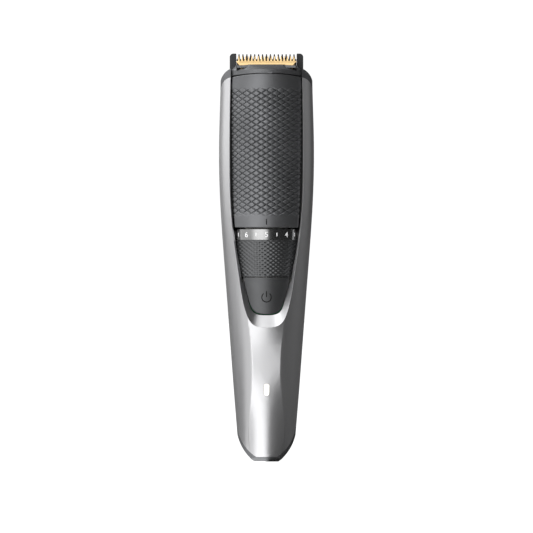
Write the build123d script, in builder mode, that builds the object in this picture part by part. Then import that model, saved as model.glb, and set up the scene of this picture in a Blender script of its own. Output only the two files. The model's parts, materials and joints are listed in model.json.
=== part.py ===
from build123d import *
import os
from math import cos, radians, sin

os.makedirs("parts", exist_ok=True)

# ---------------------------------------------------------------- driving dimensions (mm)
WALL = 1.6                 # housing wall
GAP = 0.3                  # air between pieces that move apart
PART_Y = 1.0               # the plane where the front and rear shells meet
HOUSING_TOP = 160.2        # highest point of the shells

WHEEL_BOTTOM = 77.2        # length wheel
WHEEL_TOP = 96.9
RING_BOTTOM = 92.45
RING_R = 15.7
GRIP_TOP_R = 15.9
GRIP_BOTTOM_R = 14.9
CORE_BORE_R = 12.2
STEP_DEG = 16.0            # one half-millimetre comb step
STEPS_DOWN = 9             # steps from the rest setting to the shortest
STEPS_UP = 10              # steps from the rest setting to the longest
LIFT_PER_TURN = 0.5 * 360 / STEP_DEG
FOLLOWER_Z = 87.0

PANEL_R = 19.0             # front panel, curved about a vertical line at PANEL_Y
PANEL_Y = 2.4
PANEL_THICK = 1.6
PANEL_BOTTOM = 97.6

BUTTON_TRAVEL = 0.7

CHASSIS_R = 9.5
MOTOR_R = 8.0
MOTOR_BOTTOM = 118.0
MOTOR_TOP = 146.0
CRANK = 0.9                # offset of the crank pin, half the cutter's stroke
PIN_R = 1.0

RAIL_IN = 12.7             # comb carrier rails and ears
RAIL_OUT = 15.4
RAIL_Y = 3.5
EAR_TOP = 170.6

UNIT_FLOOR = 160.9         # underside of the cutting unit
BLADE_LEAN = 40.0          # degrees that the blades lean back from upright
BLADE_Y = -10.5            # foot of the visible blades
BLADE_Z = 165.8
GUARD_THICK = 0.9
CUTTER_THICK = 0.5
CUTTER_GAP = 0.05

BATTERY_R = 7.1
BATTERY_Y = 3.0
BOARD_Y = -8.2
BOARD_THICK = 1.2

SOCKET_X = 7.4
SOCKET_Y = 4.8
SOCKET_DEPTH = 6.0
SOCKET_AT_Y = 4.0          # behind the origin, so that the rest face holds the origin

# Body stations: height, half width, half width of the front facet, depth of the front centre,
# depth at the crease beside the facet, depth of the back, radius that softens the crease.
STATIONS = [
    (-1, 11.42, 4.75, -11.3, -10.9, 10.7, 1.6),
    (30, 13.8, 6.3, -13.9, -13.3, 13.2, 1.6),
    (55, 15.65, 7.2, -15.9, -15.1, 15.0, 1.5),
    (75, 17.15, 10.2, -16.8, -13.8, 16.4, 0.9),
    (100, 19.0, 13.4, -17.4, -12.25, 17.6, 0.7),
    (125, 19.98, 14.6, -17.6, -11.65, 18.2, 0.7),
    (145, 19.68, 14.5, -17.3, -11.3, 17.6, 0.7),
    (166, 19.4, 14.2, -16.4, -10.35, 16.2, 0.7),
]

BLADES = Plane(
    origin=(0, BLADE_Y, BLADE_Z),
    x_dir=(1, 0, 0),
    z_dir=(0, -cos(radians(BLADE_LEAN)), sin(radians(BLADE_LEAN))),
)


def save(builder, name):
    """Label a finished piece and write its STEP file."""
    builder.part.label = name
    export_step(builder.part, f"parts/{name}.step")


def body_solid(inset):
    """The whole body as one solid, drawn in by inset all round."""
    with BuildPart() as solid:
        for z, width, facet, front, crease, back, soft in STATIONS:
            with BuildSketch(Plane.XY.offset(z)) as section:
                with BuildLine():
                    half = width - inset
                    edge = facet - 0.3 * inset
                    low = crease + inset
                    ThreePointArc((-edge, low), (0, front + inset), (edge, low))
                    TangentArc((half, PART_Y), (edge, low), tangent=(0, -1))
                    TangentArc((-half, PART_Y), (-edge, low), tangent=(0, -1))
                    EllipticalCenterArc(
                        (0, PART_Y), half, back - inset - PART_Y, start_angle=0, arc_size=180
                    )
                make_face()
                fillet(section.vertices().group_by(Axis.Y)[0], soft)
        loft()
    return solid.part


def front_prism(draw):
    """Everything behind and in front of an outline that draw makes in the front view."""
    with BuildPart() as prism:
        with BuildSketch(Plane.XZ):
            with BuildLine():
                draw()
            make_face()
        extrude(amount=30, both=True)
    return prism.part


def side_prism(points, half_width):
    """A closed outline in the side view (depth, height), stretched evenly to both sides."""
    with BuildPart() as prism:
        with BuildSketch(Plane.YZ):
            with BuildLine():
                Polyline(*points, close=True)
            make_face()
        extrude(amount=half_width, both=True)
    return prism.part


# ---------------------------------------------------------------- outlines in the front view
def silhouette():
    """The outline of the whole body, rounded at the foot and at the shoulders."""
    Line((-4.9, 0), (4.9, 0))
    ThreePointArc((4.9, 0), (9.5, 4.75), (12.5, 12))
    Polyline((12.5, 12), (30, 30), (30, 150), (19.6, 157.4))
    ThreePointArc((19.6, 157.4), (18.35, 161.3), (14.8, 163.9))
    Line((14.8, 163.9), (-14.8, 163.9))
    ThreePointArc((-14.8, 163.9), (-18.35, 161.3), (-19.6, 157.4))
    Polyline((-19.6, 157.4), (-30, 150), (-30, 30), (-12.5, 12))
    ThreePointArc((-12.5, 12), (-9.5, 4.75), (-4.9, 0))


def shell_outline():
    """The outline of the two shells, inside the foot's rim and under the dark shoulders."""
    Line((-4.3, 2.1), (4.3, 2.1))
    ThreePointArc((4.3, 2.1), (8.8, 6.0), (12.1, 14))
    Polyline((12.1, 14), (30, 16), (30, 154), (19.2, 155.4))
    ThreePointArc((19.2, 155.4), (17.9, 158.7), (14.4, HOUSING_TOP))
    Line((14.4, HOUSING_TOP), (-14.4, HOUSING_TOP))
    ThreePointArc((-14.4, HOUSING_TOP), (-17.9, 158.7), (-19.2, 155.4))
    Polyline((-19.2, 155.4), (-30, 154), (-30, 16), (-12.1, 14))
    ThreePointArc((-12.1, 14), (-8.8, 6.0), (-4.3, 2.1))


WINDOW_TOP = 175.0
WINDOW = [(5.4, 62.3), (7.6, 67.4), (9.5, 74.9), (11.3, 82), (12.8, 90.5), (14.5, 105),
          (15.1, 124), (15.1, 143), (14.9, 157.7), (14.9, WINDOW_TOP)]
WINDOW_FOOT = (0, 61.1)


def mirrored(points, foot):
    """Points of a right-hand edge, with its mirror image and the foot between them."""
    left = [(-x, z) for x, z in reversed(points)]
    return left + [foot] + points


def window_outline():
    """The inner edge of the window that the panel, wheel and button sit in."""
    line = Spline(*mirrored(WINDOW, WINDOW_FOOT))
    Line(line @ 1, line @ 0)


# The bevel round the window leans inwards and upwards with depth.
BEVEL_RISE = 1.5           # height gained for each mm of depth
BEVEL_DRAW = 0.035         # share of the half width lost for each mm of depth
BEVEL_START = -18.0
BEVEL_END = -7.0
RIM = [(6.1, 57.3, -15.5), (8.3, 61.0, -14.7), (11.2, 75, -12.9), (14.5, 100, -11.0),
       (15.45, 125, -10.8), (15.4, 145, -10.5)]
RIM_FOOT = (0, 56.1, -15.95)


def bevel_tool():
    """The space in front of the window, bounded by the bevel."""

    def outline(depth):
        placed = []
        for x, z, y in RIM + [RIM_FOOT]:
            share = (1 - BEVEL_DRAW * (depth - BEVEL_START)) / (1 - BEVEL_DRAW * (y - BEVEL_START))
            placed.append((x * share, z + BEVEL_RISE * (depth - y)))
        foot = placed.pop()
        placed.append((placed[-1][0], 185 + BEVEL_RISE * (depth - BEVEL_START)))
        line = Spline(*mirrored(placed, foot))
        Line(line @ 1, line @ 0)

    with BuildPart() as tool:
        for depth in (BEVEL_START, BEVEL_END):
            with BuildSketch(Plane.XZ.offset(-depth)):
                with BuildLine():
                    outline(depth)
                make_face()
        loft(ruled=True)
    return tool.part


# ---------------------------------------------------------------- shared solids
def foot_block():
    """Side view of the whole body: rounds the foot front and back, slopes the head's back."""
    with BuildPart() as block:
        with BuildSketch(Plane.YZ):
            with BuildLine():
                Line((-8.0, 0), (8.0, 0))
                ThreePointArc((8.0, 0), (10.6, 2.2), (12.2, 7))
                Polyline((12.2, 7), (30, 40), (30, 140), (17.5, 157), (6.2, 164.5), (-30, 164.5),
                         (-30, 40), (-12.4, 7))
                ThreePointArc((-12.4, 7), (-10.8, 2.2), (-8.0, 0))
            make_face()
        extrude(amount=40, both=True)
    return block.part


BODY = body_solid(0) & foot_block() & front_prism(silhouette)
CAVITY = body_solid(WALL)
SHELL_SPACE = front_prism(shell_outline)


def wheel_bay():
    """Room for the wheel to turn inside the shells."""
    with BuildPart() as bay:
        with BuildSketch(Plane.XZ):
            Polygon((0, WHEEL_BOTTOM - 0.6), (GRIP_BOTTOM_R + 0.45, WHEEL_BOTTOM - 0.6),
                    (GRIP_TOP_R + 0.45, WHEEL_TOP + 0.5), (0, WHEEL_TOP + 0.5), align=None)
        revolve(axis=Axis.Z)
    return bay.part


WHEEL_BAY = wheel_bay()

# The wall is thicker below the window, so that the bevel has something to be cut from.
SILL_BACK = -10.6
WINDOW_SILL = BODY & Pos(0, SILL_BACK - 5, 62) * Box(25, 10, 26)

# ---------------------------------------------------------------- housings
LED_Z = 30.15

with BuildPart() as front_housing:
    add(BODY)
    add(SHELL_SPACE, mode=Mode.INTERSECT)
    add(CAVITY, mode=Mode.SUBTRACT)
    with Locations((0, PART_Y + 25, 80)):
        Box(60, 50, 200, mode=Mode.SUBTRACT)
    add(WINDOW_SILL)
    add(WHEEL_BAY, mode=Mode.SUBTRACT)
    add(bevel_tool(), mode=Mode.SUBTRACT)
    add(front_prism(window_outline), mode=Mode.SUBTRACT)
    with BuildSketch(Plane.XZ):
        with Locations((0, LED_Z)):
            SlotOverall(4.9, 2.2, rotation=90)
    extrude(amount=20, mode=Mode.SUBTRACT)
save(front_housing, "front_housing")

BOSS_X = 9.6
BOSS_Y = 7.5
BOSS_TOP = 72.0

with BuildPart() as rear_housing:
    add(BODY)
    add(SHELL_SPACE, mode=Mode.INTERSECT)
    add(CAVITY, mode=Mode.SUBTRACT)
    with Locations((0, PART_Y - 25, 80)):
        Box(60, 50, 200, mode=Mode.SUBTRACT)
    add(WHEEL_BAY, mode=Mode.SUBTRACT)
    with BuildSketch(Plane.XY.offset(BOSS_TOP - 9)):
        with Locations((BOSS_X, BOSS_Y + 2.5), (-BOSS_X, BOSS_Y + 2.5)):
            Rectangle(4.4, 9.4)
    extrude(amount=9)
    add(BODY, mode=Mode.INTERSECT)
    with Locations((BOSS_X, BOSS_Y, BOSS_TOP), (-BOSS_X, BOSS_Y, BOSS_TOP)):
        Hole(radius=0.8, depth=6)
save(rear_housing, "rear_housing")

with BuildPart() as housing_screws:
    for side in (-1, 1):
        with Locations((side * BOSS_X, BOSS_Y, BOSS_TOP - 5)):
            Cylinder(0.8, 9.2, align=(Align.CENTER, Align.CENTER, Align.MIN))
        with Locations((side * BOSS_X, BOSS_Y, BOSS_TOP + 4.2)):
            Cylinder(1.7, 0.8, align=(Align.CENTER, Align.CENTER, Align.MIN))
save(housing_screws, "housing_screws")

with BuildPart() as bottom_cap:
    add(BODY)
    add(SHELL_SPACE, mode=Mode.SUBTRACT)
    with Locations((0, 0, 16 + 100)):
        Box(80, 80, 200, mode=Mode.SUBTRACT)
    with BuildSketch(Plane.XY.offset(-1)):
        with Locations((0, SOCKET_AT_Y)):
            RectangleRounded(SOCKET_X + 1.7, SOCKET_Y + 1.7, 1.2)
    extrude(amount=5, mode=Mode.SUBTRACT)
save(bottom_cap, "bottom_cap")

# ---------------------------------------------------------------- charging inlet
with BuildPart() as charging_socket:
    with BuildSketch(Plane.XY.offset(0.3)):
        with Locations((0, SOCKET_AT_Y)):
            RectangleRounded(SOCKET_X + 1.6, SOCKET_Y + 1.6, 1.15)
    extrude(amount=SOCKET_DEPTH + 1.2)
    with BuildSketch():
        with Locations((0, SOCKET_AT_Y)):
            RectangleRounded(SOCKET_X, SOCKET_Y, 0.9)
    extrude(amount=SOCKET_DEPTH, mode=Mode.SUBTRACT)
save(charging_socket, "charging_socket")

with BuildPart() as socket_contacts:
    with Locations((-1.6, SOCKET_AT_Y, SOCKET_DEPTH - 0.2), (1.6, SOCKET_AT_Y, SOCKET_DEPTH - 0.2)):
        Box(1.2, 2.4, 0.4)
save(socket_contacts, "socket_contacts")

with BuildPart() as socket_seal:
    with BuildSketch(Plane.XY.offset(3.4)):
        with Locations((0, SOCKET_AT_Y)):
            RectangleRounded(SOCKET_X + 3.4, SOCKET_Y + 3.4, 2.0)
            RectangleRounded(SOCKET_X + 1.7, SOCKET_Y + 1.7, 1.2, mode=Mode.SUBTRACT)
    extrude(amount=1.4)
save(socket_seal, "socket_seal")

# ---------------------------------------------------------------- light window, panel
with BuildPart() as led_lens:
    with BuildSketch(Plane.XZ):
        with Locations((0, LED_Z)):
            SlotOverall(4.8, 2.1, rotation=90)
    extrude(amount=20)
    with Locations((0, BOARD_Y - 1.1 + 15, LED_Z)):
        Box(10, 30, 10, mode=Mode.SUBTRACT)
    add(body_solid(0.25), mode=Mode.INTERSECT)
save(led_lens, "led_lens")


def panel_outline():
    """The front panel in the front view, with its arched top."""
    side = [(13.35, PANEL_BOTTOM), (14.2, 110), (14.62, 127), (14.5, 158), (14.4, 160.4)]
    Line((-side[0][0], PANEL_BOTTOM), side[0])
    Spline(*side)
    ThreePointArc((14.4, 160.4), (0, 161.4), (-14.4, 160.4))
    Spline(*[(-x, z) for x, z in side])


PANEL_PRISM = front_prism(panel_outline)

with BuildPart() as front_panel:
    with BuildSketch(Plane.XY.offset(PANEL_BOTTOM - 1)):
        with Locations((0, PANEL_Y)):
            Circle(PANEL_R)
            Circle(PANEL_R - PANEL_THICK, mode=Mode.SUBTRACT)
        with Locations((0, 16)):
            Rectangle(50, 40, mode=Mode.SUBTRACT)
    extrude(amount=66)
    add(PANEL_PRISM, mode=Mode.INTERSECT)
save(front_panel, "front_panel")

# ---------------------------------------------------------------- length wheel
CORE_OUT_R = 13.9
CORE_BOTTOM = WHEEL_BOTTOM + 0.3
GROOVE_R = 13.2
GROOVE_HALF = 1.2
GROOVE_SPARE = 7.0         # degrees of groove beyond each end of the travel


def revolved(points):
    """A ring about the vertical axis from its section (radius, height)."""
    with BuildPart() as ring:
        with BuildSketch(Plane.XZ):
            Polygon(*points, align=None)
        revolve(axis=Axis.Z)
    return ring


def groove_cutter():
    """The helical groove: its height falls as the angle grows, so turning the wheel lifts."""
    first = STEPS_DOWN * STEP_DEG + GROOVE_SPARE
    turn = first + STEPS_UP * STEP_DEG + GROOVE_SPARE
    low = FOLLOWER_Z - first / 360 * LIFT_PER_TURN
    with BuildPart() as cutter:
        with BuildLine():
            path = Helix(LIFT_PER_TURN, turn / 360 * LIFT_PER_TURN, GROOVE_R - 0.6,
                         center=(0, 0, low), lefthand=True)
        with BuildSketch(Plane(origin=path @ 0, x_dir=(1, 0, 0), z_dir=path % 0)):
            Rectangle(1.2, 2 * GROOVE_HALF)
        sweep(is_frenet=True)
    return cutter.part.rotate(Axis.Z, first)


wheel_core = revolved([(CORE_BORE_R, CORE_BOTTOM), (CORE_OUT_R, CORE_BOTTOM),
                       (CORE_OUT_R, WHEEL_TOP - 0.3), (CORE_BORE_R, WHEEL_TOP - 0.3)])
with wheel_core:
    add(groove_cutter(), mode=Mode.SUBTRACT)
    for step in range(-STEPS_DOWN, STEPS_UP + 1):
        with PolarLocations(CORE_OUT_R - 0.8, 1, start_angle=90 - step * STEP_DEG):
            with Locations((0, 0, CORE_BOTTOM)):
                Box(1.7, 1.0, 0.8, mode=Mode.SUBTRACT)
save(wheel_core, "wheel_core")

wheel_grip = revolved([(CORE_OUT_R, WHEEL_BOTTOM), (GRIP_BOTTOM_R, WHEEL_BOTTOM),
                       (GRIP_TOP_R, RING_BOTTOM - 0.05), (CORE_OUT_R, RING_BOTTOM - 0.05)])
save(wheel_grip, "wheel_grip")

number_ring = revolved([(CORE_OUT_R, RING_BOTTOM), (RING_R, RING_BOTTOM),
                        (RING_R, WHEEL_TOP), (CORE_OUT_R, WHEEL_TOP)])
save(number_ring, "number_ring")

with BuildPart() as detent_spring:
    with Locations((0, CORE_OUT_R - 0.8, CORE_BOTTOM - 1.0)):
        Box(10, 1.4, 0.3)
    with Locations((0, CORE_OUT_R - 0.8, CORE_BOTTOM - 0.75)):
        Cylinder(0.5, 1.4, rotation=(90, 0, 0))
save(detent_spring, "detent_spring")

# ---------------------------------------------------------------- comb carrier
YOKE_BOTTOM = 102.0
YOKE_HIGH = 3.0

with BuildPart() as comb_slider:
    with BuildSketch(Plane.XY.offset(YOKE_BOTTOM)):
        Circle(12.6)
        Rectangle(2 * RAIL_OUT, 2 * RAIL_Y)
        Circle(CHASSIS_R + GAP, mode=Mode.SUBTRACT)
    extrude(amount=YOKE_HIGH)
    with BuildSketch(Plane.XZ) as rails:
        for side in (-1, 1):
            with Locations((side * (RAIL_IN + RAIL_OUT) / 2, YOKE_BOTTOM)):
                Rectangle(RAIL_OUT - RAIL_IN, EAR_TOP - YOKE_BOTTOM,
                          align=(Align.CENTER, Align.MIN))
        ears = rails.vertices().group_by(Axis.Y)[-1].sort_by(Axis.X)
        fillet([ears[0], ears[-1]], 1.5)
    extrude(amount=RAIL_Y, both=True)
    with Locations((10.9, 0, FOLLOWER_Z - 1.6)):
        Box(1.9, 4, YOKE_BOTTOM - FOLLOWER_Z + 2.6, align=(Align.CENTER, Align.CENTER, Align.MIN))
    with Locations((11, 0, FOLLOWER_Z)):
        Cylinder(PIN_R, 4, rotation=(0, 90, 0), mode=Mode.SUBTRACT)
save(comb_slider, "comb_slider")

with BuildPart() as cam_follower:
    with Locations((10.1, 0, FOLLOWER_Z)):
        Cylinder(PIN_R, 2.8, rotation=(0, 90, 0), align=(Align.CENTER, Align.CENTER, Align.MIN))
save(cam_follower, "cam_follower")

# ---------------------------------------------------------------- power button
BUTTON_Z = 69.0
BUTTON_R = 17.0
BUTTON_LEAN = 10.0
BUTTON_FOOT_Y = -11.9


def button_outline():
    """The shield outline of the button in the front view."""
    edge = [(9.65, 76.8), (9.25, 74.9), (8.45, 71.6), (7.3, 67.4), (6.4, 64.8), (4.4, 62.4)]
    Line((-9.65, 76.8), (9.65, 76.8))
    side = Spline(*edge)
    ThreePointArc(side @ 1, (0, 61.6), (-4.4, 62.4))
    Spline(*[(-x, z) for x, z in edge])


with BuildPart() as power_button:
    lean = Plane(origin=(0, BUTTON_FOOT_Y + BUTTON_R, 61.6), x_dir=(1, 0, 0),
                 z_dir=(0, -sin(radians(BUTTON_LEAN)), cos(radians(BUTTON_LEAN))))
    with BuildSketch(lean.offset(-6)):
        Circle(BUTTON_R)
        Circle(BUTTON_R - 1.5, mode=Mode.SUBTRACT)
        with Locations((0, 14)):
            Rectangle(50, 40, mode=Mode.SUBTRACT)
    extrude(amount=30)
    add(front_prism(button_outline), mode=Mode.INTERSECT)
    with Locations((0, -11.4, BUTTON_Z)):
        Cylinder(1.8, 1.6, rotation=(90, 0, 0))
save(power_button, "power_button")

with BuildPart() as switch_plunger:
    with Locations((0, -9.9, BUTTON_Z)):
        Cylinder(0.9, 1.4, rotation=(90, 0, 0))
save(switch_plunger, "switch_plunger")

with BuildPart() as tact_switch:
    with Locations((0, BOARD_Y - 0.8, BUTTON_Z)):
        Box(4.6, 1.6, 4.6)
        Cylinder(1.0, 1.6, rotation=(90, 0, 0), mode=Mode.SUBTRACT)
save(tact_switch, "tact_switch")

# ---------------------------------------------------------------- electronics and battery
with BuildPart() as circuit_board:
    with Locations((0, BOARD_Y + BOARD_THICK / 2, 43.7)):
        Box(14.4, BOARD_THICK, 55.4)
save(circuit_board, "circuit_board")

with BuildPart() as board_chips:
    for x, z, wide, high in [(0, 34, 5, 5), (-3.2, 46, 4, 3), (3, 52, 3, 3), (0, 60, 7, 4)]:
        with Locations((x, BOARD_Y + BOARD_THICK + 0.5, z)):
            Box(wide, 1.0, high)
save(board_chips, "board_chips")

with BuildPart() as status_led:
    with Locations((0, BOARD_Y - 0.4, LED_Z)):
        Box(1.6, 0.8, 1.6)
save(status_led, "status_led")

BATTERY_BOTTOM = 16.0
BATTERY_TOP = 66.0

with BuildPart() as battery_cell:
    with Locations((0, BATTERY_Y, BATTERY_BOTTOM)):
        Cylinder(BATTERY_R, BATTERY_TOP - BATTERY_BOTTOM,
                 align=(Align.CENTER, Align.CENTER, Align.MIN))
    fillet(battery_cell.edges().filter_by(GeomType.CIRCLE), 0.8)
save(battery_cell, "battery_cell")

with BuildPart() as battery_tabs:
    for z in (BATTERY_BOTTOM - 0.35, BATTERY_TOP + 0.35):
        with Locations((0, BATTERY_Y, z)):
            Box(4, 8, 0.4)
        with Locations((0, BATTERY_Y - 5.5, z)):
            Box(2, 6, 0.4)
save(battery_tabs, "battery_tabs")

with BuildPart() as battery_pad:
    with Locations((0, 10.75, 42)):
        Box(8, 0.9, 20)
save(battery_pad, "battery_pad")

# ---------------------------------------------------------------- chassis and motor
JOURNAL_R = CORE_BORE_R - 0.06
FLANGE_BOTTOM = 148.5

with BuildPart() as inner_chassis:
    with BuildSketch(Plane.XY.offset(BOSS_TOP)):
        Circle(14)
        with Locations((0, -6.6 - 10)):
            Rectangle(40, 20, mode=Mode.SUBTRACT)
    extrude(amount=4.2)
    with BuildSketch(Plane.XY.offset(BOSS_TOP + 4.2)):
        Circle(JOURNAL_R)
    extrude(amount=4.4)
    with BuildSketch(Plane.XY.offset(BOSS_TOP)):
        Circle(CHASSIS_R)
    extrude(amount=FLANGE_BOTTOM - BOSS_TOP)
    with BuildSketch(Plane.XY.offset(FLANGE_BOTTOM)):
        with Locations((0, 0.4)):
            Circle(14.6)
        for side in (-1, 1):
            with Locations((side * 15, 0)):
                Rectangle(5.4, 2 * RAIL_Y + 0.8, mode=Mode.SUBTRACT)
    extrude(amount=2)
    with Locations((0, 0, BOSS_TOP)):
        Cylinder(7.4, 100, align=(Align.CENTER, Align.CENTER, Align.MIN), mode=Mode.SUBTRACT)
    with Locations((0, 0, MOTOR_BOTTOM)):
        Cylinder(MOTOR_R + 0.05, 60, align=(Align.CENTER, Align.CENTER, Align.MIN),
                 mode=Mode.SUBTRACT)
    with Locations((BOSS_X, BOSS_Y, BOSS_TOP), (-BOSS_X, BOSS_Y, BOSS_TOP)):
        Cylinder(0.85, 12, mode=Mode.SUBTRACT)
    with Locations((BOSS_X, BOSS_Y, BOSS_TOP + 4.2), (-BOSS_X, BOSS_Y, BOSS_TOP + 4.2)):
        Cylinder(1.9, 5, align=(Align.CENTER, Align.CENTER, Align.MIN), mode=Mode.SUBTRACT)
save(inner_chassis, "inner_chassis")

motor_can = revolved([(MOTOR_R - 0.5, MOTOR_BOTTOM), (MOTOR_R, MOTOR_BOTTOM), (MOTOR_R, MOTOR_TOP),
                      (1.9, MOTOR_TOP), (1.9, MOTOR_TOP - 0.6), (MOTOR_R - 0.5, MOTOR_TOP - 0.6)])
save(motor_can, "motor_can")

motor_end_cap = revolved([(0, MOTOR_BOTTOM), (7.45, MOTOR_BOTTOM), (7.45, MOTOR_BOTTOM + 1.2),
                          (2, MOTOR_BOTTOM + 1.2), (2, MOTOR_BOTTOM + 2.4),
                          (1.06, MOTOR_BOTTOM + 2.4), (1.06, MOTOR_BOTTOM + 0.6),
                          (0, MOTOR_BOTTOM + 0.6)])
save(motor_end_cap, "motor_end_cap")

motor_bush = revolved([(1.05, MOTOR_TOP - 2), (1.9, MOTOR_TOP - 2), (1.9, MOTOR_TOP + 0.6),
                       (1.05, MOTOR_TOP + 0.6)])
save(motor_bush, "motor_bush")

with BuildPart() as motor_magnets:
    with BuildSketch(Plane.XY.offset(MOTOR_BOTTOM + 4)):
        Circle(7.45)
        Circle(6.5, mode=Mode.SUBTRACT)
        Rectangle(6, 20, mode=Mode.SUBTRACT)
    extrude(amount=18)
save(motor_magnets, "motor_magnets")

with BuildPart() as motor_shaft:
    with Locations((0, 0, MOTOR_BOTTOM + 0.8)):
        Cylinder(1.0, 34, align=(Align.CENTER, Align.CENTER, Align.MIN))
save(motor_shaft, "motor_shaft")

rotor = revolved([(1.0, MOTOR_BOTTOM + 4), (6.0, MOTOR_BOTTOM + 4), (6.0, MOTOR_BOTTOM + 22),
                  (1.0, MOTOR_BOTTOM + 22)])
save(rotor, "rotor")

ECCENTRIC_TOP = 156.5
PIN_TOP = 162.9

with BuildPart() as eccentric:
    with Locations((0, 0, MOTOR_TOP + 1.2)):
        Cylinder(2.1, ECCENTRIC_TOP - MOTOR_TOP - 1.2, align=(Align.CENTER, Align.CENTER, Align.MIN))
        Cylinder(1.0, MOTOR_BOTTOM + 34.8 - MOTOR_TOP - 1.2,
                 align=(Align.CENTER, Align.CENTER, Align.MIN), mode=Mode.SUBTRACT)
    with Locations((0, CRANK, ECCENTRIC_TOP)):
        Cylinder(PIN_R, PIN_TOP - ECCENTRIC_TOP, align=(Align.CENTER, Align.CENTER, Align.MIN))
save(eccentric, "eccentric")

with BuildPart() as motor_wires:
    for side in (-1, 1):
        with Locations((side * 2.5, -6.35, 68)):
            Cylinder(0.4, MOTOR_BOTTOM - 68, align=(Align.CENTER, Align.CENTER, Align.MIN))
save(motor_wires, "motor_wires")

# ---------------------------------------------------------------- head
UNIT_BACK = 8.2
UNIT_SIDE = 12.3
COLLAR_SIDE = 14.72
COLLAR_GAP = 0.15          # air beside the cutting unit's front part
COLLAR_BACK = -4.3
COLLAR_RING_R = 15.25      # inside of the room for the panel, about COLLAR_RING_Y
COLLAR_RING_Y = 0.6
LIP_Z = 161.75             # lower edge of the cutting unit's front lip, and its hinge line
HINGE_Y = -16.2
BEAD_R = 0.3               # round bead on the hinge line, at the middle of the lip

DARK_SHOULDERS = BODY - SHELL_SPACE - Pos(0, 0, 50) * Box(80, 80, 200)

with BuildPart() as head_collar:
    add(body_solid(WALL + 0.1))
    with Locations((0, 0, 155.5 - 100)):
        Box(80, 80, 200, mode=Mode.SUBTRACT)
    with Locations((0, 0, 159 + 50)):
        Box(80, 80, 100, mode=Mode.SUBTRACT)
    add(DARK_SHOULDERS)
    with BuildSketch(Plane.XY.offset(150)):
        with Locations((0, -PANEL_R)):
            Rectangle(2 * (COLLAR_SIDE + COLLAR_GAP), 2 * PANEL_R - 2 * 4)
        with Locations((0, COLLAR_RING_Y)):
            Circle(COLLAR_RING_R, mode=Mode.SUBTRACT)
    extrude(amount=20, mode=Mode.SUBTRACT)
    with Locations((0, UNIT_BACK + GAP - 20, UNIT_FLOOR - GAP)):
        Box(2 * (COLLAR_SIDE + COLLAR_GAP), 40, 20, align=(Align.CENTER, Align.CENTER, Align.MIN),
            mode=Mode.SUBTRACT)
    for side in (-1, 1):
        with Locations((side * (RAIL_IN + RAIL_OUT) / 2, 0, 160)):
            Box(RAIL_OUT - RAIL_IN + 0.7, 2 * RAIL_Y + 0.7, 30, mode=Mode.SUBTRACT)
    with Locations((0, 0, 160)):
        Cylinder(3.2, 30, mode=Mode.SUBTRACT)
save(head_collar, "head_collar")

head_seal = revolved([(2.4, 156.8), (3.2, 156.8), (3.2, 158.8), (2.4, 158.8)])
save(head_seal, "head_seal")


def panel_notch_outline():
    """Room under the cutting unit's front lip for the arched top of the panel."""
    Polyline((-COLLAR_SIDE - 1, 160.7), (-COLLAR_SIDE - 1, 150), (COLLAR_SIDE + 1, 150),
             (COLLAR_SIDE + 1, 160.7))
    ThreePointArc((COLLAR_SIDE + 1, 160.7), (0, LIP_Z), (-COLLAR_SIDE - 1, 160.7))


def panel_notch():
    """The notch as a solid: the outline, outside the chassis's circle."""
    with BuildPart() as notch:
        add(front_prism(panel_notch_outline))
        with Locations((0, COLLAR_RING_Y, 150)):
            Cylinder(COLLAR_RING_R, 40, mode=Mode.SUBTRACT)
        with Locations((0, 20, 150)):
            Box(80, 46, 60, mode=Mode.SUBTRACT)
    return notch.part


def plan_of_unit():
    """The cutting unit seen from above: wide in front of the ears, narrow between them."""
    with BuildPart() as plan:
        with BuildSketch(Plane.XY.offset(UNIT_FLOOR)):
            with Locations((0, PANEL_Y)):
                Circle(PANEL_R - 0.4)
            with Locations((0, -PANEL_R)):
                Rectangle(2 * COLLAR_SIDE, 2 * PANEL_R, mode=Mode.INTERSECT)
            with Locations((0, COLLAR_BACK + 20)):
                Rectangle(50, 40, mode=Mode.SUBTRACT)
            with Locations((0, (UNIT_BACK - 8) / 2)):
                Rectangle(2 * UNIT_SIDE, UNIT_BACK + 8)
        extrude(amount=15)
    return plan.part


SLOPE_BOTTOM = 163.2       # where the unit's front starts to slope back to the blades
SLOPE_TOP = 165.45


def slope_of_unit():
    """The cutting unit's outside: upright below, sloping in from the front and both sides."""
    with BuildPart() as slope:
        for z, half, middle, corner in [(SLOPE_BOTTOM, COLLAR_SIDE, HINGE_Y, -8.9),
                                        (SLOPE_TOP, UNIT_SIDE - 0.1, -12.3, -11.5)]:
            with BuildSketch(Plane.XY.offset(z)):
                with BuildLine():
                    ThreePointArc((-half, corner), (0, middle), (half, corner))
                    Polyline((half, corner), (half, UNIT_BACK), (-half, UNIT_BACK),
                             (-half, corner))
                make_face()
        loft(ruled=True)
        with Locations((0, 0, UNIT_FLOOR)):
            Box(40, 40, SLOPE_BOTTOM - UNIT_FLOOR, align=(Align.CENTER, Align.CENTER, Align.MIN))
        with Locations((0, 0, SLOPE_TOP)):
            Box(2 * (UNIT_SIDE - 0.1), 24, 10, align=(Align.CENTER, Align.CENTER, Align.MIN))
    return slope.part


def blade_slab(half_width, low, high, back, front):
    """A slab along the blades: low to high up the blade, back to front through it."""
    with BuildPart() as slab:
        with BuildSketch(BLADES.offset(back)):
            with Locations((0, (low + high) / 2)):
                Rectangle(2 * half_width, high - low)
        extrude(amount=front - back)
    return slab.part


SCREW_X = 9.3
SCREW_UP = -1.6


def guard_screw(radius, start, length):
    """A pair of rods square to the blades, from start behind the guard's face."""
    with BuildPart() as rods:
        with BuildSketch(BLADES.offset(-start)):
            with Locations((-SCREW_X, SCREW_UP), (SCREW_X, SCREW_UP)):
                Circle(radius)
        extrude(amount=-length)
    return rods.part


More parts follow.
